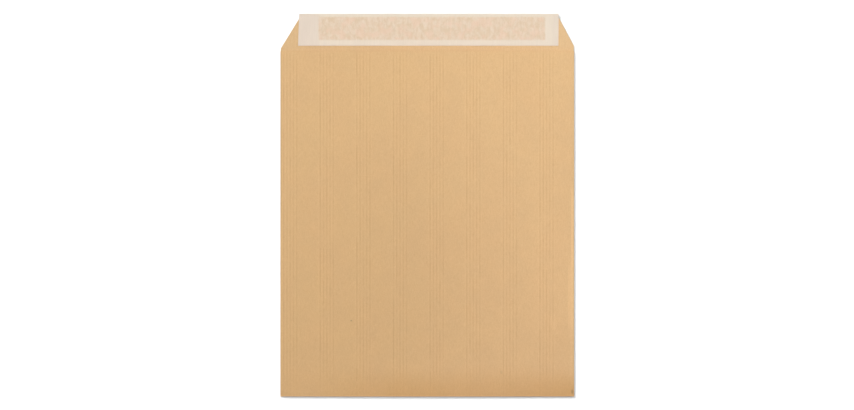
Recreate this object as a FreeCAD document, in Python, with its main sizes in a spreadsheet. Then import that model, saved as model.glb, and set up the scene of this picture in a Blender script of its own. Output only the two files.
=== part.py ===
# Peel-and-seal pocket envelope of ribbed kraft paper, lying on its front with the flap folded open.
# Millimetres. X runs across the envelope, Y from the bottom fold to the tip of the flap, Z up from
# the table, with the origin on the table under the middle of the whole outline.

import FreeCAD, Part
import os
import Sketcher

SIZES = [
    # the sheet
    ("body_width", 270.0),
    ("body_height", 320.0),
    ("paper_thickness", 0.18),
    # the closing flap, its score and the edge of the back panel below it
    ("flap_depth", 32.0),
    ("flap_inset_left", 20.0),
    ("flap_inset_right", 16.0),
    ("flap_shoulder_right", 2.4),
    ("score_width", 0.8),
    ("score_depth", 0.06),
    ("throat_drop", 2.5),
    # the side seams: flaps of the front panel, folded in and gummed under the back panel
    ("seam_flap_width", 18.0),
    ("seam_flap_slant", 12.0),
    ("seam_flap_end", 4.0),
    ("seam_rim", 2.0),
    ("crease_gap", 0.10),
    ("back_setback", 0.8),
    ("relief_width", 2.2),
    ("relief_height", 6.0),
    # how far the unpressed back panel stands off the front, at the bottom fold and at the mouth
    ("bottom_gape", 0.15),
    ("mouth_gape", 7.4),
    ("gape_power", 1.3),
    # the line of adhesive and the liner that covers it
    ("adhesive_width", 208.0),
    ("adhesive_height", 21.0),
    ("adhesive_thickness", 0.06),
    ("adhesive_shift", 5.2),
    ("adhesive_margin", 2.4),
    ("liner_width", 240.0),
    ("liner_height", 29.0),
    ("liner_thickness", 0.07),
    ("liner_shift", 1.7),
    ("liner_skew_left", 1.0),
    ("liner_skew_right", 0.6),
    # how far each outline that cuts another shape reaches past it
    ("overrun", 5.0),
]

# the main places, worked out from the sizes
HALF = "sizes.body_width / 2"
BOTTOM = "-(sizes.body_height + sizes.flap_depth) / 2"
SCORE = "(sizes.body_height - sizes.flap_depth) / 2"
TIP = "(sizes.body_height + sizes.flap_depth) / 2"
THROAT = f"{SCORE} - sizes.throat_drop"
FLOOR = "sizes.paper_thickness"
SIDE_FOLD_RADIUS = "(sizes.paper_thickness + sizes.crease_gap / 2)"
BOTTOM_FOLD_HEIGHT = "(3 * sizes.paper_thickness + sizes.crease_gap + sizes.bottom_gape)"
BEFORE_FOLD = f"{BOTTOM} - sizes.overrun"
INNER_BOTTOM = f"{BOTTOM} + sizes.paper_thickness"
HINGE = f"{HALF} - {SIDE_FOLD_RADIUS}"
ABOVE_ALL = "(sizes.mouth_gape + sizes.overrun)"

# share of the way from just before the bottom fold to the score at which each section is drawn
STATIONS = (0.0, 0.35, 0.7, 1.0)


def make_sheet(doc):
    """The driving dimensions, one to a row, each with its alias."""
    sheet = doc.addObject("Spreadsheet::Sheet", "sizes")
    for row, (alias, size) in enumerate(SIZES, start=1):
        sheet.set(f"A{row}", alias)
        sheet.set(f"B{row}", str(size))
        sheet.setAlias(f"B{row}", alias)
    doc.recompute()
    return sheet


def draw(sketch, sheet, corners, bulges):
    """Draws a closed outline, anticlockwise, with each corner tied to the sheet.

    corners holds a pair of expressions for each corner. bulges maps an edge, by the number of the
    corner it starts from, to a pair for the point that it passes through as an arc.
    """
    def point(pair):
        return FreeCAD.Vector(*(float(sheet.evalExpression(text)) for text in pair), 0)

    def fix(geometry, pair, name):
        for axis, text in zip("XY", pair):
            offset = float(sheet.evalExpression(text))
            sketch.addConstraint(Sketcher.Constraint("Distance" + axis, -1, 1, geometry, 1, offset))
            number = sketch.ConstraintCount - 1
            sketch.renameConstraint(number, name + axis)
            sketch.setExpression(f"Constraints.{name}{axis}", text)

    count = len(corners)
    for edge in range(count):
        start, end = point(corners[edge]), point(corners[(edge + 1) % count])
        if edge in bulges:
            sketch.addGeometry(Part.Arc(start, point(bulges[edge]), end))
        else:
            sketch.addGeometry(Part.LineSegment(start, end))
    for edge in range(count):
        sketch.addConstraint(Sketcher.Constraint("Coincident", edge, 2, (edge + 1) % count, 1))
    for edge, pair in enumerate(corners):
        fix(edge, pair, f"corner{edge}")
    for edge, pair in bulges.items():
        through = sketch.addGeometry(Part.Point(point(pair)), True)
        fix(through, pair, f"bulge{edge}")
        sketch.addConstraint(Sketcher.Constraint("PointOnObject", through, 1, edge))


def plan_sketch(doc, sheet, name, corners, height):
    """An outline seen from above, at a height over the table."""
    sketch = doc.addObject("Sketcher::SketchObject", name)
    sketch.setExpression("Placement.Base.z", height)
    draw(sketch, sheet, corners, {})
    return sketch


def station_place(share):
    """How far along the envelope, and how far the back panel has risen there."""
    along = f"{BEFORE_FOLD} + {share} * (sizes.body_height + sizes.overrun)"
    rise = (
        f"sizes.bottom_gape + (sizes.mouth_gape - sizes.bottom_gape)"
        f" * pow({share}; sizes.gape_power)"
    )
    return along, rise


def section_sketch(doc, sheet, name, share, corners, bulges):
    """A cross-section of the pocket, drawn upright at one station."""
    sketch = doc.addObject("Sketcher::SketchObject", name)
    sketch.Placement = FreeCAD.Placement(
        FreeCAD.Vector(0, 0, 0), FreeCAD.Rotation(FreeCAD.Vector(1, 0, 0), 90)
    )
    sketch.setExpression("Placement.Base.y", station_place(share)[0])
    draw(sketch, sheet, corners, bulges)
    return sketch


def loft(doc, name, sections):
    """A solid through the cross-sections."""
    solid = doc.addObject("Part::Loft", name)
    solid.Sections = sections
    solid.Solid = True
    solid.Ruled = False
    return solid


def bowed_space(doc, sheet, name, plies):
    """All that lies under a bowed ply, with this many plies of paper and the creases below it.

    The three bowed faces are one curve, a ply apart, so that the paper keeps its thickness.
    """
    sections = []
    edge = f"{plies} * sizes.paper_thickness + sizes.crease_gap"
    left, right = f"-({HINGE})", HINGE
    for number, share in enumerate(STATIONS):
        crown = f"{edge} + {station_place(share)[1]}"
        corners = [(left, "0"), (right, "0"), (right, edge), (left, edge)]
        section = section_sketch(
            doc, sheet, f"{name}_section{number}", share, corners, {2: ("0", crown)}
        )
        sections.append(section)
    return loft(doc, name, sections)


def tube(doc, sheet):
    """The side folds and the seam flaps' top, solid inside and on down through the table.

    Each fold is an arc that runs a little below the table, so that it meets the flat front at an
    angle once that is cut.
    """
    sections = []
    top = f"2 * {SIDE_FOLD_RADIUS}"
    under = "-sizes.crease_gap"
    deep = "-sizes.overrun"
    left, right = f"-({HINGE})", HINGE
    for number, share in enumerate(STATIONS):
        crown = f"{top} + {station_place(share)[1]}"
        corners = [(left, deep), (right, deep), (right, under), (right, top), (left, top), (left, under)]
        bulges = {
            2: (HALF, SIDE_FOLD_RADIUS),
            3: ("0", crown),
            4: (f"-({HALF})", SIDE_FOLD_RADIUS),
        }
        sections.append(
            section_sketch(doc, sheet, f"tube_section{number}", share, corners, bulges)
        )
    return loft(doc, "tube", sections)


def upright(doc, sheet, name, corners, low, height):
    """An outline seen from above, raised into a prism."""
    prism = doc.addObject("Part::Extrusion", name)
    prism.Base = plan_sketch(doc, sheet, name + "_outline", corners, low)
    prism.DirMode = "Normal"
    prism.Solid = True
    prism.setExpression("LengthFwd", height)
    return prism


def crosswise(doc, sheet, name, corners, bulges):
    """A side profile, drawn along the envelope, run right across it."""
    sketch = doc.addObject("Sketcher::SketchObject", name + "_profile")
    sketch.Placement = FreeCAD.Placement(
        FreeCAD.Vector(0, 0, 0),
        FreeCAD.Rotation(FreeCAD.Vector(0, 1, 0), FreeCAD.Vector(0, 0, 1), FreeCAD.Vector(1, 0, 0)),
    )
    draw(sketch, sheet, corners, bulges)
    prism = doc.addObject("Part::Extrusion", name)
    prism.Base = sketch
    prism.DirMode = "Normal"
    prism.Solid = True
    prism.Symmetric = True
    prism.setExpression("LengthFwd", "sizes.body_width + 2 * sizes.overrun")
    return prism


def combine(doc, kind, name, first, second):
    """A boolean of two solids."""
    result = doc.addObject(kind, name)
    result.Base = first
    result.Tool = second
    return result


def space_over(doc, sheet, name, plies, corners):
    """What lies between the front panel and the underside or top of a bowed ply, over an outline."""
    outline = upright(doc, sheet, name + "_cut", corners, FLOOR, ABOVE_ALL)
    return combine(doc, "Part::Common", name, bowed_space(doc, sheet, name + "_bow", plies), outline)


def mirrored(right_side):
    """The outline's right side, read upwards, and the same on the left, read downwards."""
    return right_side + [(f"-({across})", along) for across, along in reversed(right_side)]


def back_panel(doc, sheet):
    """The back panel over its cut outline, with a relief at each end of the bottom fold."""
    side = f"{HALF} - sizes.back_setback"
    relief = f"{HALF} - sizes.relief_width"
    right_side = [
        (relief, BEFORE_FOLD),
        (relief, BOTTOM),
        (side, f"{BOTTOM} + sizes.relief_height"),
        (side, THROAT),
    ]
    return space_over(doc, sheet, "back_panel", 3, mirrored(right_side))


def pocket_profile(doc, sheet):
    """The pocket from the side: round at the bottom fold, cut square at the throat.

    The round reaches a little past both faces of the fold, so that it meets them at an angle.
    """
    start = f"{BOTTOM} + {BOTTOM_FOLD_HEIGHT} / 2"
    corners = [
        (start, "-sizes.overrun"),
        (THROAT, "-sizes.overrun"),
        (THROAT, ABOVE_ALL),
        (start, ABOVE_ALL),
        (start, f"{BOTTOM_FOLD_HEIGHT} + sizes.crease_gap"),
        (start, "-sizes.crease_gap"),
    ]
    bulges = {4: (BOTTOM, f"{BOTTOM_FOLD_HEIGHT} / 2")}
    return crosswise(doc, sheet, "pocket_side", corners, bulges)


def above_table(doc):
    """All that lies over the table, for cutting the front panel flat."""
    room = doc.addObject("Part::Box", "above_table")
    room.setExpression("Length", f"2 * ({HALF} + sizes.overrun)")
    room.setExpression("Width", "sizes.body_height + 2 * sizes.overrun")
    room.setExpression("Height", ABOVE_ALL)
    room.setExpression("Placement.Base.x", f"-({HALF} + sizes.overrun)")
    room.setExpression("Placement.Base.y", f"{BOTTOM} - sizes.overrun")
    return room


def closing_flap(doc, sheet):
    """The front panel's lip above the throat, and the flap beyond its score.

    Both sides of the flap slant inwards, the right one from a low shoulder above the score.
    """
    corners = [
        (f"-({HINGE})", THROAT),
        (HINGE, THROAT),
        (HINGE, f"{SCORE} + sizes.flap_shoulder_right"),
        (f"{HALF} - sizes.flap_inset_right", TIP),
        (f"-({HALF}) + sizes.flap_inset_left", TIP),
        (f"-({HINGE})", SCORE),
    ]
    return upright(doc, sheet, "closing_flap", corners, "0", "sizes.paper_thickness")


def space_under_seams(doc, sheet):
    """The inside up to the level of the seam flaps, from fold to fold."""
    right_side = [(HALF, INNER_BOTTOM), (HALF, SCORE)]
    return space_over(doc, sheet, "under_seams", 1, mirrored(right_side))


def space_between_seams(doc, sheet):
    """The inside up to the back panel, over all that the seam flaps leave free."""
    low_end = f"{BOTTOM} + sizes.seam_flap_end"
    high_end = f"{THROAT} - sizes.seam_flap_end"
    rim = f"{HALF} - sizes.seam_rim"
    inner = f"{HALF} - sizes.seam_flap_width"
    right_side = [
        (rim, INNER_BOTTOM),
        (rim, low_end),
        (inner, f"{low_end} + sizes.seam_flap_slant"),
        (inner, f"{high_end} - sizes.seam_flap_slant"),
        (rim, high_end),
        (rim, SCORE),
    ]
    return space_over(doc, sheet, "between_seams", 2, mirrored(right_side))


def score_groove(doc, sheet):
    """The crease that the flap folds on."""
    corners = [
        (f"{SCORE} - sizes.score_width / 2", FLOOR),
        (SCORE, f"{FLOOR} - sizes.score_depth"),
        (f"{SCORE} + sizes.score_width / 2", FLOOR),
    ]
    return crosswise(doc, sheet, "score_groove", corners, {})


def envelope(doc, sheet):
    """One folded sheet, its gummed seams closed up."""
    walls = combine(doc, "Part::Fuse", "walls", tube(doc, sheet), back_panel(doc, sheet))
    trimmed = combine(doc, "Part::Common", "trimmed", walls, pocket_profile(doc, sheet))
    pocket = combine(doc, "Part::Common", "pocket", trimmed, above_table(doc))
    whole = combine(doc, "Part::Fuse", "whole", pocket, closing_flap(doc, sheet))
    whole.Refine = True
    opened = combine(doc, "Part::Cut", "opened", whole, space_under_seams(doc, sheet))
    hollow = combine(doc, "Part::Cut", "hollow", opened, space_between_seams(doc, sheet))
    return combine(doc, "Part::Cut", "envelope", hollow, score_groove(doc, sheet))


def strip(doc, sheet, name, size, shift, margin, below, skews):
    """A thin band laid on the flap, its margin measured from the flap's edge.

    skews holds how far each end, the left and the right, leans over from bottom to top.
    """
    body = doc.addObject("PartDesign::Body", name)
    plane = next(f for f in body.Origin.OriginFeatures if f.Role == "XY_Plane")
    sketch = body.newObject("Sketcher::SketchObject", name + "_outline")
    sketch.AttachmentSupport = [(plane, "")]
    sketch.MapMode = "FlatFace"
    left, right = f"{shift} - {size}_width / 2", f"{shift} + {size}_width / 2"
    lean_left, lean_right = (f"{skew} / 2" for skew in skews)
    top = f"{TIP} - {margin}"
    bottom = f"{top} - {size}_height"
    corners = [
        (f"{left} - {lean_left}", bottom),
        (f"{right} - {lean_right}", bottom),
        (f"{right} + {lean_right}", top),
        (f"{left} + {lean_left}", top),
    ]
    draw(sketch, sheet, corners, {})
    pad = body.newObject("PartDesign::Pad", name + "_pad")
    pad.Profile = sketch
    pad.setExpression("Length", f"{size}_thickness")
    body.setExpression("Placement.Base.z", below)
    return body


def adhesive_strip(doc, sheet):
    return strip(
        doc, sheet, "adhesive_strip", "sizes.adhesive", "sizes.adhesive_shift",
        "sizes.adhesive_margin", FLOOR, ("0", "0"),
    )


def release_liner(doc, sheet):
    return strip(
        doc, sheet, "release_liner", "sizes.liner", "sizes.liner_shift",
        "0", f"{FLOOR} + sizes.adhesive_thickness",
        ("sizes.liner_skew_left", "sizes.liner_skew_right"),
    )


def write_parts(doc, pieces):
    """Writes each piece to its own file, once everything in the document is sound."""
    for thing in doc.Objects:
        if "Invalid" in thing.State or "Error" in thing.State:
            raise RuntimeError(f"{thing.Name} failed: {thing.State}")
    os.makedirs("parts", exist_ok=True)
    for piece in pieces:
        shape = piece.Shape
        if shape.isNull() or not shape.isValid():
            raise RuntimeError(f"{piece.Label} has no valid shape")
        if len(shape.Solids) != 1:
            raise RuntimeError(f"{piece.Label} is {len(shape.Solids)} solids")
    for piece in pieces:
        box = piece.Shape.optimalBoundingBox(False, False)
        print(
            f"{piece.Label}: {piece.Shape.Volume:.1f} mm3,"
            f" x {box.XMin:.2f} to {box.XMax:.2f}, y {box.YMin:.2f} to {box.YMax:.2f},"
            f" z {box.ZMin:.3f} to {box.ZMax:.3f}"
        )
        piece.Shape.exportStep(f"parts/{piece.Label}.step")


def main():
    doc = FreeCAD.newDocument("envelope")
    sheet = make_sheet(doc)
    pieces = [envelope(doc, sheet), adhesive_strip(doc, sheet), release_liner(doc, sheet)]
    doc.recompute()
    write_parts(doc, pieces)


main()
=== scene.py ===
"""The looks of a peel-and-seal pocket envelope of ribbed kraft paper, lying on its front."""
import math

import bmesh
import bpy
import numpy as np
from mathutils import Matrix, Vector

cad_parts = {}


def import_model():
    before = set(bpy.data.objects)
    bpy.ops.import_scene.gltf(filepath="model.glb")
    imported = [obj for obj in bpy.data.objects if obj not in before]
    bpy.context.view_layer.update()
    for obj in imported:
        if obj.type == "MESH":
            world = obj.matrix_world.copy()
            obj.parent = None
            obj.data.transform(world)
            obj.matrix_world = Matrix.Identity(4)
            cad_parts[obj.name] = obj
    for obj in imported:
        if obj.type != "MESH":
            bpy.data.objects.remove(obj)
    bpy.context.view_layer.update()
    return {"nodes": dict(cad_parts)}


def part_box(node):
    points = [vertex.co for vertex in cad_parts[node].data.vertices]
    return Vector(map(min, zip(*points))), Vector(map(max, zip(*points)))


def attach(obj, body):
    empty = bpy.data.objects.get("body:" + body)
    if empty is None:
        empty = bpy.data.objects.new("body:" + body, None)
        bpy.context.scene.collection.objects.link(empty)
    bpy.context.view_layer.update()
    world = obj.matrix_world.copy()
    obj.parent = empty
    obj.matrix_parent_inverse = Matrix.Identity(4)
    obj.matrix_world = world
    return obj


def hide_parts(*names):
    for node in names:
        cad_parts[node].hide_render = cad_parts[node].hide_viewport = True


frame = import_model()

MM = 0.001
SHEET_LOW, SHEET_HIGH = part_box("envelope")
GUM_LOW, GUM_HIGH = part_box("adhesive_strip")
LINER_LOW, LINER_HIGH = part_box("release_liner")

# the photograph's frame, and how far right of and below its middle the sheet's middle lies
PICTURE_WIDTH = 854
PIXEL = 0.9193 * MM
MIDDLE_RIGHT = 0.3 * PIXEL
MIDDLE_BELOW = 0.1 * PIXEL
CAMERA_HEIGHT = 4.0
SENSOR_WIDTH = 36

# the folded sheet
PAPER = 0.18 * MM
HALF = SHEET_HIGH.x
BOTTOM = SHEET_LOW.y
TIP = SHEET_HIGH.y
FLAP_DEPTH = 32 * MM
FLAP_INSET_LEFT = 20 * MM
FLAP_INSET_RIGHT = 16 * MM
FLAP_SHOULDER_RIGHT = 2.4 * MM
SCORE = TIP - FLAP_DEPTH
SCORE_WIDTH = 0.8 * MM
SCORE_DEPTH = 0.06 * MM
THROAT = SCORE - 2.5 * MM
CREASE_GAP = 0.10 * MM
SIDE_FOLD_RADIUS = PAPER + CREASE_GAP / 2
HINGE = HALF - SIDE_FOLD_RADIUS
SEAM_INNER = HALF - 18 * MM
SEAM_RIM = HALF - 2 * MM
SEAM_SLANT = 12 * MM
SEAM_LOW = BOTTOM + 4 * MM
SEAM_HIGH = THROAT - 4 * MM
BACK_EDGE = HALF - 0.8 * MM
RELIEF_EDGE = HALF - 2.2 * MM
RELIEF_HEIGHT = 6 * MM
CORNER_STEP = 0.1 * MM

# how far the unpressed back panel stands off the front
BOW_START = BOTTOM - 5 * MM
BOTTOM_GAPE = 0.15 * MM
MOUTH_GAPE = 7.4 * MM
GAPE_POWER = 1.3
SWAY_FULL = BOTTOM + 90 * MM

# heights of the middle of each ply where they meet at the edges
FRONT_MIDDLE = PAPER / 2
SEAM_MIDDLE = 1.5 * PAPER + CREASE_GAP
GUM_LINE = 0.02 * MM
BACK_MIDDLE = 2.5 * PAPER + CREASE_GAP + GUM_LINE

# the ribs pressed into the paper, in groups of fine lines, which fade at both ends of the pocket
RIB_GROUPS = 8
RIB_GROUP_PITCH = 33.65 * MM
RIB_FIRST_GROUP = -126 * MM
RIB_LINES = 5
RIB_PITCH = 3.0 * MM
RIB_WIDTH = 0.5 * MM
RIB_HEIGHT = 0.035 * MM
RIB_FADE_LOW = (BOTTOM + 12 * MM, BOTTOM + 24 * MM)
RIB_FADE_HIGH = (THROAT - 6 * MM, THROAT)
RIB_FAINT = 0.3

# how the ribs are coloured, as painted shade along each line and a painted highlight on its lit
# flanks: the soft edge of a line in shares of their pitch, the flanks, the stronger line at the
# left of each group, what is left on the flap, and how unevenly strong the lines are
RIB_EDGE = (0.06, 0.36)
RIB_FLANK = -0.4
RIB_LEFT_LINE = 1.3
RIB_ON_FLAP = 0.2
RIB_UNEVENNESS = (0.3, 1.7)

# how strongly clouds, fibres, grain and ribs change the brightness of the paper, and how much
# of that of fibres, grain and ribs goes to the red, the green and the blue
CLOUD_STRENGTH = 0.05
FIBRE_STRENGTH = 0.18
GRAIN_STRENGTH = 0.09
RIB_STRENGTH = 0.042
WARMTH = (0.85, 1.35, 1.7)

# how far the paper turns warmer above the bottom fold, paler on its inner face and rosier in
# places, darker left of the middle and paler low at the right
HEM_TINT = 0.6
INNER_FACE_TINT = 0.08
ROSY_TINT = 0.16
MIDDLE_DARKER = 0.034
RIGHT_PALER = 0.030

# upright bands along the side folds, a painted highlight at the right and painted shade at
# the left: from where to where across, from where to where along, and how much paler
FOLD_HIGHLIGHT_SHADE_BANDS = [
    (132.2 * MM, 134.1 * MM, -114 * MM, 15 * MM, 0.11),
    (129.3 * MM, 132.2 * MM, -114 * MM, -55 * MM, 0.065),
    (131.6 * MM, 133.8 * MM, -165 * MM, -114 * MM, 0.045),
    (-HALF - 1 * MM, -133.8 * MM, -10 * MM, 150 * MM, -0.08),
]
BAND_EDGE = 0.3 * MM
BAND_END = 12 * MM

# a painted highlight where the bottom fold turns under: from where to where it fades, and how
# much paler it is
BOTTOM_FOLD_HIGHLIGHTS = [
    (BOTTOM + 0.5 * MM, BOTTOM + 2.2 * MM, 0.07),
    (BOTTOM + 0.3 * MM, BOTTOM + 0.9 * MM, 0.22),
]

# dark specks in the paper, and a painted shadow in the cut at the lower right corner: the middle,
# half the width, half the height and the strength
SPECKS_AND_CORNER_SHADOW = [
    ((-69.9 * MM, -106.2 * MM), 1.2 * MM, 0.9 * MM, 0.30),
    ((68.1 * MM, -153.6 * MM), 1.5 * MM, 2.3 * MM, 0.09),
    # not a speck: painted shadow in the cut at the lower right corner
    ((133.3 * MM, -171.6 * MM), 1.6 * MM, 2.8 * MM, 0.28),
]

# how far the ends of the liner lean over, and how the photograph has it cut: a little short at
# the right end and a little deep at the lower edge
LINER_SKEW_LEFT = 1.0 * MM
LINER_SKEW_RIGHT = 0.3 * MM
LINER_SHORT = 1.2 * MM
LINER_DEEP = 0.5 * MM

# how far the liner's loose ends and lower edge lift, and its ripples, in millimetres
LINER_END_LIFT = 0.35
LINER_HEM_LIFT = 0.12
LINER_RIPPLE = 0.012

# how far towards the pocket and to the left the adhesive has crept where it wets the liner,
# and how far the edge of that zone wanders and softens
WET_DOWN = 0.7 * MM
WET_LEFT = 1.0 * MM
WET_WANDER = 1.0 * MM
WET_SOFT = 1.0 * MM

# how finely the sheets are divided
RIB_POINTS = (-1.8, -0.9, 0, 0.9, 1.8)
COLUMN_LIMIT = RELIEF_EDGE - 1.3 * MM
COLUMN_STEP = 3.4 * MM
ROW_STEP = 5.5 * MM
LIP_STEP = 2 * MM
FLAP_STEP = 4 * MM
FLAP_STRAIGHT = HALF - FLAP_INSET_LEFT - 3 * MM
SEAM_STEPS = 5
FOLD_STEPS = 8
TURN = np.linspace(0, math.pi, FOLD_STEPS + 1)
LINER_STEP_ACROSS = 2 * MM
LINER_STEP_ALONG = 1.2 * MM
CRISP_ANGLE = math.radians(50)

# the floor, which is a grey one with a light of its own, weak near the sheet and stronger far off
FLOOR_REACH = 6.0
FLOOR_LEVEL = -0.2 * MM
FLOOR_GREY = 0.42
FLOOR_NEAR, FLOOR_FAR = 0.3, 1.6
FLOOR_GLOW_NEAR, FLOOR_GLOW_FAR = 0.13, 0.6

# the light: the even light, the low sun on the floor, and the soft lamps with their place,
# width, height and share of the light
WORLD_STRENGTH = 0.22
SUN_SHARE = 1.25
SUN_ELEVATION = math.radians(15)
SUN_ANGLE = math.radians(14)
SOFTBOXES = [
    ("overhead", (0.35, 0.45, 1.7), 1.4, 1.4, 0.48),
    ("from_the_top", (0.3, 1.4, 1.2), 1.0, 0.6, 0.22),
    ("from_the_left", (-1.5, 0.2, 0.7), 0.5, 1.0, 0.10),
]


def smooth(start, end, value):
    """0 before the start, 1 after the end, with a soft step between them."""
    share = np.clip((value - start) / (end - start), 0, 1)
    return share * share * (3 - 2 * share)


def rib_places():
    """Where the pressed lines run, from left to right."""
    groups = [RIB_FIRST_GROUP + group * RIB_GROUP_PITCH for group in range(RIB_GROUPS)]
    lines = [(line - RIB_LINES // 2) * RIB_PITCH for line in range(RIB_LINES)]
    return [group + line for group in groups for line in lines]


def rib_height(x, y):
    """The pressed lines: strongest over the length of the pocket, weak at its two ends."""
    height = np.zeros_like(x)
    for place in rib_places():
        height = height + np.exp(-(((x - place) / RIB_WIDTH) ** 2))
    between = smooth(*RIB_FADE_LOW, y) * (1 - smooth(*RIB_FADE_HIGH, y))
    return RIB_HEIGHT * height * (RIB_FAINT + (1 - RIB_FAINT) * between)


def bow(x, y):
    """The rise of the back panel over the seams: an arch that grows towards the mouth."""
    along = np.clip((y - BOW_START) / (SCORE - BOW_START), 0, 1)
    rise = BOTTOM_GAPE + (MOUTH_GAPE - BOTTOM_GAPE) * along ** GAPE_POWER
    return rise * (1 - (x / HINGE) ** 2)


def sway(x, y):
    """Slow waves of the back panel, worked out in millimetres, still at its edges and fold."""
    waves = (
        0.20 * np.sin(x / (31 * MM) + 0.6) * np.cos(y / (47 * MM) + 1.1)
        + 0.14 * np.sin(x / (17 * MM) - 0.4 + y / (90 * MM))
        + 0.10 * np.cos(y / (23 * MM) + x / (60 * MM))
    )
    free = (1 - (x / HINGE) ** 2) * smooth(BOTTOM, SWAY_FULL, y)
    return waves * MM * free


def back_height(x, y):
    """The back panel: bowed, swaying and ribbed."""
    return BACK_MIDDLE + bow(x, y) + sway(x, y) + rib_height(x, y)


def front_height(x, y):
    """The front panel and the flap: flat, with the ribs and the score pressed in."""
    score = SCORE_DEPTH * np.exp(-(((y - SCORE) / (SCORE_WIDTH / 2)) ** 2))
    return FRONT_MIDDLE + rib_height(x, y) - score


class Surface:
    """Grids of points, joined where they share an edge."""

    def __init__(self):
        self.points = []
        self.faces = []

    def add(self, x, y, z):
        """One more grid, its places and heights given row by row."""
        grid = np.stack(np.broadcast_arrays(x, y, z), axis=-1)
        rows, columns = grid.shape[:2]
        start = len(self.points)
        self.points.extend(map(tuple, grid.reshape(-1, 3)))
        for row in range(rows - 1):
            for column in range(columns - 1):
                corner = start + row * columns + column
                above = corner + columns
                self.faces.append((corner, corner + 1, above + 1, above))

    def build(self, name, thickness, materials):
        """The surface as an object of an even thickness, its cut edges in the last material."""
        mesh = bpy.data.meshes.new(name)
        mesh.from_pydata(self.points, [], self.faces)
        welded = bmesh.new()
        welded.from_mesh(mesh)
        bmesh.ops.remove_doubles(welded, verts=welded.verts, dist=0.001 * MM)
        bmesh.ops.recalc_face_normals(welded, faces=welded.faces)
        welded.to_mesh(mesh)
        welded.free()
        piece = bpy.data.objects.new(name, mesh)
        bpy.context.scene.collection.objects.link(piece)
        for material in materials:
            mesh.materials.append(material)
        mesh.polygons.foreach_set("use_smooth", [True] * len(mesh.polygons))
        solid = piece.modifiers.new("thickness", "SOLIDIFY")
        solid.thickness = thickness
        solid.offset = 0
        solid.use_even_offset = True
        solid.material_offset_rim = len(materials) - 1
        # the finished solid as the object's own mesh, its cut edges kept crisp
        whole = piece.evaluated_get(bpy.context.evaluated_depsgraph_get())
        finished = bpy.data.meshes.new_from_object(whole)
        piece.modifiers.clear()
        piece.data = finished
        finished.set_sharp_from_angle(angle=CRISP_ANGLE)
        return piece


def steps(start, end, size):
    """Evenly spaced places from start to end, about this far apart."""
    return np.linspace(start, end, max(2, round(abs(end - start) / size) + 1))


def spans(places, size):
    """The same over a run of places, each of which is kept."""
    runs = [steps(a, b, size)[:-1] for a, b in zip(places, places[1:])]
    return np.concatenate(runs + [[places[-1]]])


def sheet_columns():
    """Places across the sheet inside its edges: close over each rib, wide between the groups."""
    points = [place + part * RIB_WIDTH for place in rib_places() for part in RIB_POINTS]
    inside = [point for point in points if -COLUMN_LIMIT < point < COLUMN_LIMIT]
    return spans([-COLUMN_LIMIT, *inside, COLUMN_LIMIT], COLUMN_STEP)


def across_sheet(inner, edge):
    """Rows of places across the sheet, each out to its own edge at both sides."""
    return np.hstack([-edge[:, None], np.tile(inner, (len(edge), 1)), edge[:, None]])


def add_front(surface, inner, rows, side_rows):
    """The front panel, with its corners drawn down to the bottom fold."""
    x = across_sheet(inner, np.full(len(rows), RELIEF_EDGE))
    y = np.broadcast_to(rows[:, None], x.shape)
    surface.add(x, y, front_height(x, y))
    corner = np.array([RELIEF_EDGE, RELIEF_EDGE + CORNER_STEP, HINGE])
    y = np.stack([rows, side_rows, side_rows], axis=1)
    for side in (-1, 1):
        x = np.tile(side * corner, (len(rows), 1))
        surface.add(x, y, front_height(x, y))


def add_flap(surface, inner):
    """The lip before the score and the flap beyond it, whose columns close in at its ends."""
    lip = spans([THROAT, SCORE - SCORE_WIDTH, SCORE - SCORE_WIDTH / 4,
                 SCORE + SCORE_WIDTH / 4, SCORE + SCORE_WIDTH], LIP_STEP)
    rest = spans([lip[-1], SCORE + FLAP_SHOULDER_RIGHT, TIP], FLAP_STEP)
    rows = np.concatenate([lip, rest[1:]])
    columns = np.concatenate([[-HINGE, -RELIEF_EDGE], inner, [RELIEF_EDGE, HINGE]])
    x = np.tile(columns, (len(rows), 1))
    ends = ((-1, FLAP_INSET_LEFT, 0), (1, FLAP_INSET_RIGHT, FLAP_SHOULDER_RIGHT))
    for side, inset, shoulder in ends:
        beyond = np.clip((rows - SCORE - shoulder) / (FLAP_DEPTH - shoulder), 0, 1)
        limit = HINGE - (HINGE - HALF + inset) * beyond
        squeeze = ((limit - FLAP_STRAIGHT) / (HINGE - FLAP_STRAIGHT))[:, None]
        outer = side * columns > FLAP_STRAIGHT
        past_straight = (side * columns[outer] - FLAP_STRAIGHT) * squeeze
        x[:, outer] = side * (FLAP_STRAIGHT + past_straight)
    y = np.broadcast_to(rows[:, None], x.shape)
    # no ribs where the columns close in, but for the first row, which joins the front panel
    unribbed = RIB_FIRST_GROUP + RIB_GROUP_PITCH / 2
    height = front_height(np.where(np.abs(x) > FLAP_STRAIGHT, unribbed, x), y)
    height[0] = front_height(x[0], y[0])
    surface.add(x, y, height)


def add_bottom_fold(surface, inner, fold_y):
    """A half round from the front panel to the back panel."""
    x = np.concatenate([[-RELIEF_EDGE], inner, [RELIEF_EDGE]])[None, :]
    row_y = np.full(x.shape, fold_y)
    low, high = front_height(x, row_y), back_height(x, row_y)
    radius = (high - low) / 2
    middle = (high + low) / 2
    y = fold_y - radius * np.sin(TURN)[:, None]
    surface.add(x, y, middle - radius * np.cos(TURN)[:, None])


def add_back(surface, inner, rows):
    """The back panel, cut in at the two bottom corners."""
    share = np.clip((rows - rows[0]) / RELIEF_HEIGHT, 0, 1)
    x = across_sheet(inner, RELIEF_EDGE + (BACK_EDGE - RELIEF_EDGE) * share)
    y = np.broadcast_to(rows[:, None], x.shape)
    surface.add(x, y, back_height(x, y))


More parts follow.
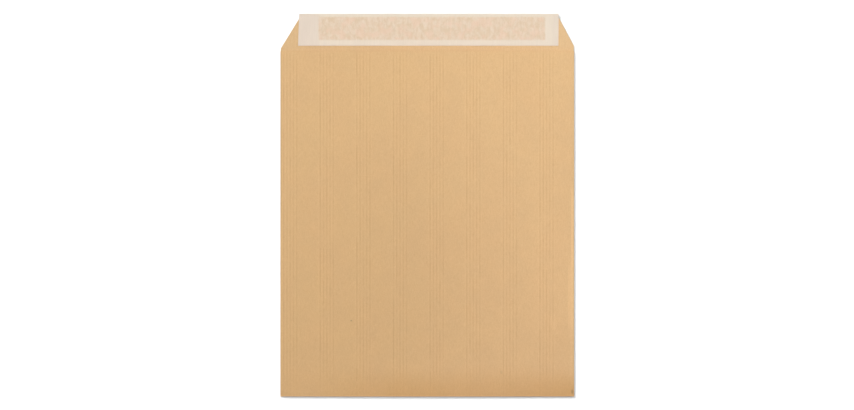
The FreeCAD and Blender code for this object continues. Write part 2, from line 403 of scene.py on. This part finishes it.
def add_side(surface, side, rows):
    """A side fold and the seam flap that it turns in, whose ends are slanted."""
    y = rows[:, None]
    low = front_height(np.full(y.shape, side * HINGE), y)
    radius = (SEAM_MIDDLE - low) / 2
    middle = (SEAM_MIDDLE + low) / 2
    x = side * (HINGE + radius * np.sin(TURN)[None, :])
    surface.add(x, y, middle - radius * np.cos(TURN)[None, :])
    slope = np.minimum(rows - SEAM_LOW, SEAM_HIGH - rows) / SEAM_SLANT
    reach = SEAM_RIM + (SEAM_INNER - SEAM_RIM) * np.clip(slope, 0, 1)
    share = np.linspace(0, 1, SEAM_STEPS + 1)[None, :]
    x = side * (HINGE + (reach[:, None] - HINGE) * share)
    y = np.broadcast_to(y, x.shape)
    rise = bow(x, y) + sway(x, y)
    surface.add(x, y, SEAM_MIDDLE + rise)


def envelope_sheet(materials):
    """The whole die-cut sheet, folded into the pocket with its flap open."""
    surface = Surface()
    inner = sheet_columns()
    back_low = back_height(np.array([0.0]), np.array([BOTTOM]))[0]
    fold_y = BOTTOM + PAPER / 2 + (back_low - FRONT_MIDDLE) / 2
    rows = spans([fold_y, SEAM_LOW, BOTTOM + RELIEF_HEIGHT, SEAM_LOW + SEAM_SLANT,
                  SEAM_HIGH - SEAM_SLANT, SEAM_HIGH, THROAT], ROW_STEP)
    side_rows = rows.copy()
    side_rows[0] = BOTTOM + PAPER / 2
    add_front(surface, inner, rows, side_rows)
    add_flap(surface, inner)
    add_bottom_fold(surface, inner, fold_y)
    add_back(surface, inner, rows)
    for side in (-1, 1):
        add_side(surface, side, side_rows)
    return surface.build("paper_sheet", PAPER, materials)


def liner_sheet(material):
    """The liner: stuck down over the adhesive, loose and a little lifted along its margins."""
    surface = Surface()
    low = LINER_LOW - Vector((0, LINER_DEEP, 0))
    high = LINER_HIGH - Vector((LINER_SHORT, 0, 0))
    thickness = high.z - low.z
    breaks = [0, GUM_LOW.x - low.x, GUM_HIGH.x - low.x, high.x - low.x]
    across = spans(breaks, LINER_STEP_ACROSS)
    along = spans([low.y, GUM_LOW.y, GUM_HIGH.y, high.y], LINER_STEP_ALONG)
    y = along[:, None] * np.ones((1, len(across)))
    upper = (y - low.y) / (high.y - low.y)
    # the two ends are cut a little askew
    left = low.x + LINER_SKEW_LEFT * upper
    right = high.x - LINER_SKEW_RIGHT * (1 - upper)
    x = left + (right - left) * across[None, :] / across[-1]
    free_ends = smooth(2 * MM, 14 * MM, GUM_LOW.x - x) + smooth(2 * MM, 12 * MM, x - GUM_HIGH.x)
    free_hem = smooth(1 * MM, 5 * MM, GUM_LOW.y - y)
    lift = LINER_END_LIFT * free_ends * (0.7 + 0.3 * np.sin(y / (9 * MM)))
    waves = 1 + np.sin(x / (11 * MM)) * np.cos(x / (29 * MM) + 1)
    lift = lift + LINER_HEM_LIFT * free_hem * waves
    ripple = LINER_RIPPLE * (1 + np.sin(x / (3.1 * MM) + 2 * np.sin(y / (5 * MM))))
    surface.add(x, y, low.z + thickness / 2 + (lift + ripple) * MM)
    return surface.build("liner_sheet", thickness, [material])


def linear(red, green, blue):
    """A display colour, 0 to 255, as the linear colour that a shader takes."""
    def channel(value):
        value /= 255
        return value / 12.92 if value <= 0.04045 else ((value + 0.055) / 1.055) ** 2.4
    return (channel(red), channel(green), channel(blue), 1)


class Nodes:
    """The nodes of a material or a world. An input is a plain value or a node's output."""

    def __init__(self, owner):
        owner.use_nodes = True
        self.owner = owner
        self.tree = owner.node_tree
        self.tree.nodes.clear()

    def node(self, kind, inputs=None, **settings):
        added = self.tree.nodes.new(kind)
        for key, value in settings.items():
            setattr(added, key, value)
        for key, value in (inputs or {}).items():
            if isinstance(value, bpy.types.NodeSocket):
                self.tree.links.new(value, added.inputs[key])
            else:
                added.inputs[key].default_value = value
        return added

    def math(self, operation, first, second=0.0, third=0.0):
        inputs = {0: first, 1: second, 2: third}
        return self.node("ShaderNodeMath", inputs, operation=operation).outputs[0]

    def product(self, *values):
        result = values[0]
        for value in values[1:]:
            result = self.math("MULTIPLY", result, value)
        return result

    def mix(self, factor, first, second, blend="MIX"):
        inputs = {"Factor": factor, 6: first, 7: second}
        mixed = self.node("ShaderNodeMix", inputs, data_type="RGBA", blend_type=blend)
        return mixed.outputs[2]

    def channels(self, red, green, blue):
        return self.node("ShaderNodeCombineColor", {0: red, 1: green, 2: blue}).outputs[0]

    def shaded(self, colour, shade):
        """The colour times one factor of brightness."""
        return self.mix(1.0, colour, self.channels(shade, shade, shade), "MULTIPLY")

    def step(self, value, start, end, low=0.0, high=1.0):
        """A soft step of the value, from low at the start to high at the end."""
        inputs = {0: value, 1: start, 2: end, 3: low, 4: high}
        ranged = self.node("ShaderNodeMapRange", inputs, interpolation_type="SMOOTHSTEP")
        return ranged.outputs[0]

    def window(self, value, low, high, soft):
        """1 between low and high and 0 outside, each end softened by this much both ways."""
        rising = self.step(value, low - soft, low + soft)
        falling = self.step(value, high - soft, high + soft, 1.0, 0.0)
        return self.math("MULTIPLY", rising, falling)

    def noise(self, place, scale, detail=2.0, roughness=0.5, distortion=0.0):
        inputs = {
            "Vector": place, "Scale": scale, "Detail": detail,
            "Roughness": roughness, "Distortion": distortion,
        }
        return self.node("ShaderNodeTexNoise", inputs).outputs["Fac"]

    def centred(self, noise, strength):
        """Noise made to swing about zero by this much."""
        return self.math("MULTIPLY", self.math("SUBTRACT", noise, 0.5), 2 * strength)

    def stretched(self, place, scale, turn=0.0):
        """The place with its axes scaled, for noise that is drawn out along one of them."""
        inputs = {"Vector": place, "Scale": scale, "Rotation": (0, 0, turn)}
        return self.node("ShaderNodeMapping", inputs).outputs[0]

    def place(self):
        """The place on the object."""
        return self.node("ShaderNodeTexCoord").outputs["Object"]

    def split(self, place):
        """A place as its three separate numbers."""
        return tuple(self.node("ShaderNodeSeparateXYZ", {0: place}).outputs)

    def seen(self):
        """1 for the rays that show the scene, straight, mirrored or through a clear piece."""
        rays = self.node("ShaderNodeLightPath").outputs
        direct = self.math("MAXIMUM", rays["Is Camera Ray"], rays["Is Glossy Ray"])
        return self.math("MAXIMUM", direct, rays["Is Transmission Ray"])

    def finish(self, shader, output="ShaderNodeOutputMaterial"):
        """The material or the world, with this shader as its surface."""
        self.tree.links.new(shader.outputs[0], self.node(output).inputs[0])
        return self.owner

    def bumpy(self, colour, roughness, specular, relief, strength, depth):
        """The material, finished in this colour with the relief as fine bumps."""
        bump = self.node("ShaderNodeBump", {
            "Height": relief, "Strength": strength, "Distance": depth,
        })
        return self.finish(self.node("ShaderNodeBsdfPrincipled", {
            "Base Color": colour, "Roughness": roughness, "Specular IOR Level": specular,
            "Normal": bump.outputs[0],
        }))


def new_material(name):
    return Nodes(bpy.data.materials.new(name))


def rib_lines(paint, x, y):
    """Painted shade and highlight of the pressed lines: 1 along the middle of each line, less
    than 0 on its lit flanks.
    """
    groups = paint.math("DIVIDE", paint.math("SUBTRACT", x, RIB_FIRST_GROUP), RIB_GROUP_PITCH)
    nearest = paint.math("ROUND", groups)
    offset = paint.math("MULTIPLY", paint.math("SUBTRACT", groups, nearest), RIB_GROUP_PITCH)
    lines = paint.math("DIVIDE", offset, RIB_PITCH)
    away = paint.math("ABSOLUTE", paint.math("SUBTRACT", lines, paint.math("ROUND", lines)))
    aside = paint.math("ABSOLUTE", lines)
    return paint.product(
        paint.step(away, *RIB_EDGE, 1.0, RIB_FLANK),
        paint.step(lines, -1.6, -1.2, RIB_LEFT_LINE, 1.0),
        paint.step(aside, RIB_LINES / 2, RIB_LINES / 2 + 0.2, 1.0, 0.0),
        paint.step(y, *RIB_FADE_LOW, RIB_FAINT, 1.0),
        paint.step(y, *RIB_FADE_HIGH, 1.0, RIB_ON_FLAP),
    )


def paper_tone(paint, place, x, y):
    """The colour of the paper without its fine detail, which changes slowly over the sheet;
    painted light makes it paler towards the top and the right, along with some change of tone.
    """
    # painted light: paler towards the top and the right, as if lit more strongly from the upper
    # right, with some change of tone as well
    upward = paint.math("DIVIDE", paint.math("SUBTRACT", y, BOTTOM), TIP - BOTTOM)
    left = paint.mix(upward, linear(221, 180, 128), linear(223, 184, 133))
    right = paint.mix(upward, linear(229, 187, 137), linear(232, 192, 140))
    colour = paint.mix(paint.step(x, -HALF, HALF), left, right)
    # warmer above the bottom fold, least of all at the left
    low = paint.step(y, BOTTOM + 2 * MM, BOTTOM + 30 * MM, 1.0, 0.0)
    sideways = paint.math("ADD", paint.step(x, -120 * MM, -20 * MM, 0.2, 0.95),
                          paint.step(x, 60 * MM, 130 * MM, 0.0, 0.25))
    colour = paint.mix(paint.product(low, sideways, HEM_TINT), colour, linear(211, 161, 102))
    # the flap shows the inner face of the paper, which is a little paler
    inner_face = paint.step(y, THROAT, THROAT + 0.5 * MM, 0.0, INNER_FACE_TINT)
    colour = paint.mix(inner_face, colour, linear(228, 221, 191))
    # a slight change of hue in places
    drift = paint.noise(paint.stretched(place, (1.0, 0.6, 1.0)), 24.0, 2.0)
    rosy = paint.step(drift, 0.35, 0.65, 0.0, ROSY_TINT)
    return paint.mix(rosy, colour, linear(223, 178, 131))


def paper_detail(paint, place, x, y, fibres, grain):
    """Fibres, grain and the ribs' painted shade and highlight, which darken the paper to a warm
    brown, as a factor of colour.
    """
    rib_unevenness = paint.noise(paint.stretched(place, (1 / RIB_PITCH, 45.0, 1.0)), 1.0, 2.0)
    rib_uneven = paint.step(rib_unevenness, 0.3, 0.7, *RIB_UNEVENNESS)
    # the ribs' lines as painted shade, with a painted highlight on their flanks
    ribs = paint.product(rib_lines(paint, x, y), rib_uneven, RIB_STRENGTH)
    detail = paint.math("ADD", paint.centred(fibres, FIBRE_STRENGTH),
                        paint.centred(grain, GRAIN_STRENGTH))
    detail = paint.math("SUBTRACT", detail, ribs)
    return paint.channels(*(paint.math("MULTIPLY_ADD", detail, share, 1.0) for share in WARMTH))


def paper_shade(paint, clouds, x, y, z):
    """Clouds, a painted highlight and painted shade along the side folds, a painted highlight at
    the bottom fold, darker and paler zones, and specks, one of them a painted shadow, as one
    factor of brightness.
    """
    shade = paint.math("ADD", 1.0, paint.centred(clouds, CLOUD_STRENGTH))
    # painted highlight along the right side fold and painted shade along the left one
    for left, right, low, high, strength in FOLD_HIGHLIGHT_SHADE_BANDS:
        band = paint.math("MULTIPLY", paint.window(x, left, right, BAND_EDGE),
                          paint.window(y, low, high, BAND_END))
        shade = paint.math("MULTIPLY_ADD", band, strength, shade)
    # painted highlight where the bottom fold turns under
    for start, end, strength in BOTTOM_FOLD_HIGHLIGHTS:
        shade = paint.math("ADD", shade, paint.step(y, start, end, strength, 0.0))
    # a shade darker left of the middle, and paler low at the right
    aside = paint.math("ABSOLUTE", paint.math("ADD", x, 14 * MM))
    darker = paint.product(
        paint.step(aside, 0.0, 95 * MM, 1.0, 0.0),
        paint.step(y, 10 * MM, 110 * MM, 1.0, 0.0),
        paint.step(y, -150 * MM, -110 * MM, 0.2, 1.0),
    )
    shade = paint.math("MULTIPLY_ADD", darker, -MIDDLE_DARKER, shade)
    paler = paint.product(
        paint.step(x, 75 * MM, 120 * MM),
        paint.step(y, -40 * MM, 10 * MM, 1.0, 0.0),
        paint.step(y, -125 * MM, -105 * MM),
    )
    shade = paint.math("MULTIPLY_ADD", paler, RIGHT_PALER, shade)
    # specks in the pulp, and the painted shadow in the cut at the lower right corner, on the side
    # that shows
    upper_side = paint.math("GREATER_THAN", z, SEAM_MIDDLE)
    for (mark_x, mark_y), half_width, half_height, strength in SPECKS_AND_CORNER_SHADOW:
        across = paint.math("DIVIDE", paint.math("SUBTRACT", x, mark_x), half_width)
        along = paint.math("DIVIDE", paint.math("SUBTRACT", y, mark_y), half_height)
        squares = paint.math("ADD", paint.product(across, across), paint.product(along, along))
        spot = paint.step(paint.math("SQRT", squares), 0.3, 1.0, strength, 0.0)
        shade = paint.math("SUBTRACT", shade, paint.math("MULTIPLY", spot, upper_side))
    return shade


def kraft_paper():
    """Brown ribbed paper: cloudy and fibrous, and lighter towards the upper right, which is
    painted light.
    """
    paint = new_material("kraft_paper")
    place = paint.place()
    x, y, z = paint.split(place)
    clouds = paint.noise(place, 55.0, 3.0, 0.55)
    # fibres: fine streaks in three directions, most of them along the sheet
    streaks = [
        paint.noise(paint.stretched(place, (2600.0, 260.0, 2600.0), turn), 1.0, 2.0, 0.6)
        for turn in (0.0, 0.5, -0.6)
    ]
    fibres = paint.math("ADD", paint.math("ADD", streaks[0], streaks[1]), streaks[2])
    fibres = paint.math("DIVIDE", fibres, len(streaks))
    grain = paint.noise(place, 900.0, 3.0, 0.65)
    detail = paper_detail(paint, place, x, y, fibres, grain)
    colour = paint.mix(1.0, paper_tone(paint, place, x, y), detail, "MULTIPLY")
    colour = paint.shaded(colour, paper_shade(paint, clouds, x, y, z))
    return paint.bumpy(
        colour, roughness=paint.step(clouds, 0.3, 0.7, 0.62, 0.78), specular=0.25,
        relief=paint.math("MULTIPLY_ADD", grain, 0.5, fibres), strength=0.35, depth=0.06 * MM,
    )


def cut_edge():
    """The cut edge of the sheet, where paler, rougher fibres show."""
    paint = new_material("paper_cut_edge")
    fuzz = paint.noise(paint.place(), 6000.0, 3.0, 0.7)
    colour = paint.mix(fuzz, linear(206, 168, 120), linear(226, 192, 146))
    return paint.bumpy(colour, roughness=0.9, specular=0.1, relief=fuzz, strength=0.5,
                       depth=0.03 * MM)


def liner_paper():
    """Translucent silicone paper: pale where it is loose, beige and mottled where it is wet."""
    paint = new_material("liner_paper")
    place = paint.place()
    x, y = paint.split(place)[:2]
    wander = paint.centred(paint.noise(place, 420.0, 3.0, 0.6), WET_WANDER)
    shifted_x = paint.math("ADD", paint.math("ADD", x, wander), WET_LEFT)
    shifted_y = paint.math("ADD", paint.math("ADD", y, wander), WET_DOWN)
    wet = paint.math("MULTIPLY", paint.window(shifted_x, GUM_LOW.x, GUM_HIGH.x, WET_SOFT),
                     paint.window(shifted_y, GUM_LOW.y, GUM_HIGH.y, WET_SOFT))
    # where it is wet: blotches, rosy places and flecks
    blotch = paint.noise(paint.stretched(place, (330.0, 190.0, 330.0)), 1.0, 3.0, 0.6, 0.3)
    rosy = paint.step(paint.noise(place, 110.0, 2.0), 0.45, 0.65, 0.0, 0.5)
    fleck = paint.step(paint.noise(place, 600.0, 2.0, 0.6), 0.55, 0.75, 0.0, 0.4)
    damp = paint.mix(paint.step(blotch, 0.3, 0.7), linear(221, 195, 163), linear(230, 209, 186))
    damp = paint.mix(rosy, damp, linear(233, 200, 174))
    damp = paint.mix(fleck, damp, linear(213, 181, 146))
    # where it is loose: slow changes of tone, and a little darker at the two ends
    tint = paint.noise(place, 60.0, 2.0)
    loose = paint.mix(tint, linear(227, 211, 192), linear(235, 220, 200))
    ends = paint.math("ADD", paint.step(x, GUM_LOW.x - 2 * MM, GUM_LOW.x, 0.35, 0.0),
                      paint.step(x, GUM_HIGH.x + 5 * MM, GUM_HIGH.x + 8 * MM, 0.0, 0.25))
    loose = paint.mix(ends, loose, linear(219, 200, 187))
    # faint streaks from the slitting, across the tape
    streaks = paint.noise(paint.stretched(place, (700.0, 60.0, 700.0)), 1.0, 2.0, 0.6)
    shade = paint.math("ADD", 1.0, paint.centred(streaks, 0.05))
    return paint.bumpy(
        paint.shaded(paint.mix(wet, loose, damp), shade),
        roughness=paint.step(blotch, 0.3, 0.7, 0.38, 0.5), specular=0.4,
        relief=paint.noise(place, 300.0, 3.0, 0.5), strength=0.3, depth=0.1 * MM,
    )


def adhesive():
    """The line of adhesive, which the liner covers."""
    paint = new_material("seal_adhesive")
    flow = paint.noise(paint.stretched(paint.place(), (60.0, 400.0, 400.0)), 1.0, 3.0, 0.5)
    colour = paint.mix(flow, linear(214, 186, 148), linear(232, 210, 178))
    return paint.bumpy(colour, roughness=0.3, specular=0.5, relief=flow, strength=0.4,
                       depth=0.03 * MM)


def floor_finish():
    """White under all the lamps, with a light of its own that makes up for distance."""
    paint = new_material("floor_white")
    length = paint.node("ShaderNodeVectorMath", {0: paint.place()}, operation="LENGTH")
    distance = length.outputs["Value"]
    own = paint.step(distance, FLOOR_NEAR, FLOOR_FAR, FLOOR_GLOW_NEAR, FLOOR_GLOW_FAR)
    strength = paint.math("MULTIPLY", paint.seen(), own)
    glow = paint.node("ShaderNodeEmission", {"Strength": strength, "Color": (1, 1, 1, 1)})
    grey = (FLOOR_GREY, FLOOR_GREY, FLOOR_GREY, 1)
    matt = paint.node("ShaderNodeBsdfDiffuse", {"Color": grey})
    both = paint.node("ShaderNodeAddShader", {0: matt.outputs[0], 1: glow.outputs[0]})
    return paint.finish(both)


def floor():
    """A plain pale surface, a hair's breadth under the paper."""
    mesh = bpy.data.meshes.new("floor")
    corners = [
        (across * FLOOR_REACH, along * FLOOR_REACH, FLOOR_LEVEL)
        for across, along in ((-1, -1), (1, -1), (1, 1), (-1, 1))
    ]
    mesh.from_pydata(corners, [], [(0, 1, 2, 3)])
    mesh.materials.append(floor_finish())
    plane = bpy.data.objects.new("floor", mesh)
    bpy.context.scene.collection.objects.link(plane)
    return plane


def low_sun(receiver):
    """A low sun from the upper left for the floor alone, which draws the thin shadow."""
    lamp = bpy.data.lights.new("low_sun", "SUN")
    lamp.energy = SUN_SHARE * math.pi / math.sin(SUN_ELEVATION)
    lamp.angle = SUN_ANGLE
    holder = bpy.data.objects.new("low_sun", lamp)
    level = math.cos(SUN_ELEVATION) * math.sqrt(0.5)
    towards = Vector((-level, level, math.sin(SUN_ELEVATION)))
    holder.rotation_euler = towards.to_track_quat("Z", "Y").to_euler()
    bpy.context.scene.collection.objects.link(holder)
    lit = bpy.data.collections.new("floor_only")
    lit.objects.link(receiver)
    holder.light_linking.receiver_collection = lit


def world():
    """Even light from all round, and a white background."""
    surroundings = bpy.data.worlds.new("surroundings")
    bpy.context.scene.world = surroundings
    paint = Nodes(surroundings)
    soft, white = (
        paint.node("ShaderNodeBackground", {"Color": (1, 1, 1, 1), "Strength": strength})
        for strength in (WORLD_STRENGTH, 1.0)
    )
    inputs = {0: paint.seen(), 1: soft.outputs[0], 2: white.outputs[0]}
    paint.finish(paint.node("ShaderNodeMixShader", inputs), "ShaderNodeOutputWorld")


def softbox(name, place, width, height, share):
    """A soft lamp aimed at the middle, which gives this share of the light that falls there."""
    place = Vector(place)
    lamp = bpy.data.lights.new(name, "AREA")
    lamp.shape = "RECTANGLE"
    lamp.size = width
    lamp.size_y = height
    distance = place.length
    lamp.energy = share * math.pi ** 2 * distance ** 2 / (place.z / distance)
    holder = bpy.data.objects.new(name, lamp)
    holder.location = place
    holder.rotation_euler = (-place).to_track_quat("-Z", "Y").to_euler()
    bpy.context.scene.collection.objects.link(holder)


def camera():
    """Straight above, from so far off that perspective hardly shows."""
    lens = bpy.data.cameras.new("camera")
    lens.sensor_width = SENSOR_WIDTH
    lens.lens = lens.sensor_width * CAMERA_HEIGHT / (PICTURE_WIDTH * PIXEL)
    lens.clip_end = 50
    viewer = bpy.data.objects.new("camera", lens)
    viewer.location = (-MIDDLE_RIGHT, MIDDLE_BELOW, CAMERA_HEIGHT)
    bpy.context.scene.collection.objects.link(viewer)
    bpy.context.scene.camera = viewer


def dress():
    """The sheet and the liner in place of their solids, and the adhesive in its finish."""
    sheet = envelope_sheet([kraft_paper(), cut_edge()])
    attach(sheet, "root")
    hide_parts("envelope")
    liner = liner_sheet(liner_paper())
    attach(liner, "root")
    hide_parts("release_liner")
    gum = frame["nodes"]["adhesive_strip"]
    gum.data.materials.clear()
    gum.data.materials.append(adhesive())


dress()
low_sun(floor())
world()
for lamp in SOFTBOXES:
    softbox(*lamp)
camera()
bpy.context.scene.view_settings.view_transform = "Standard"
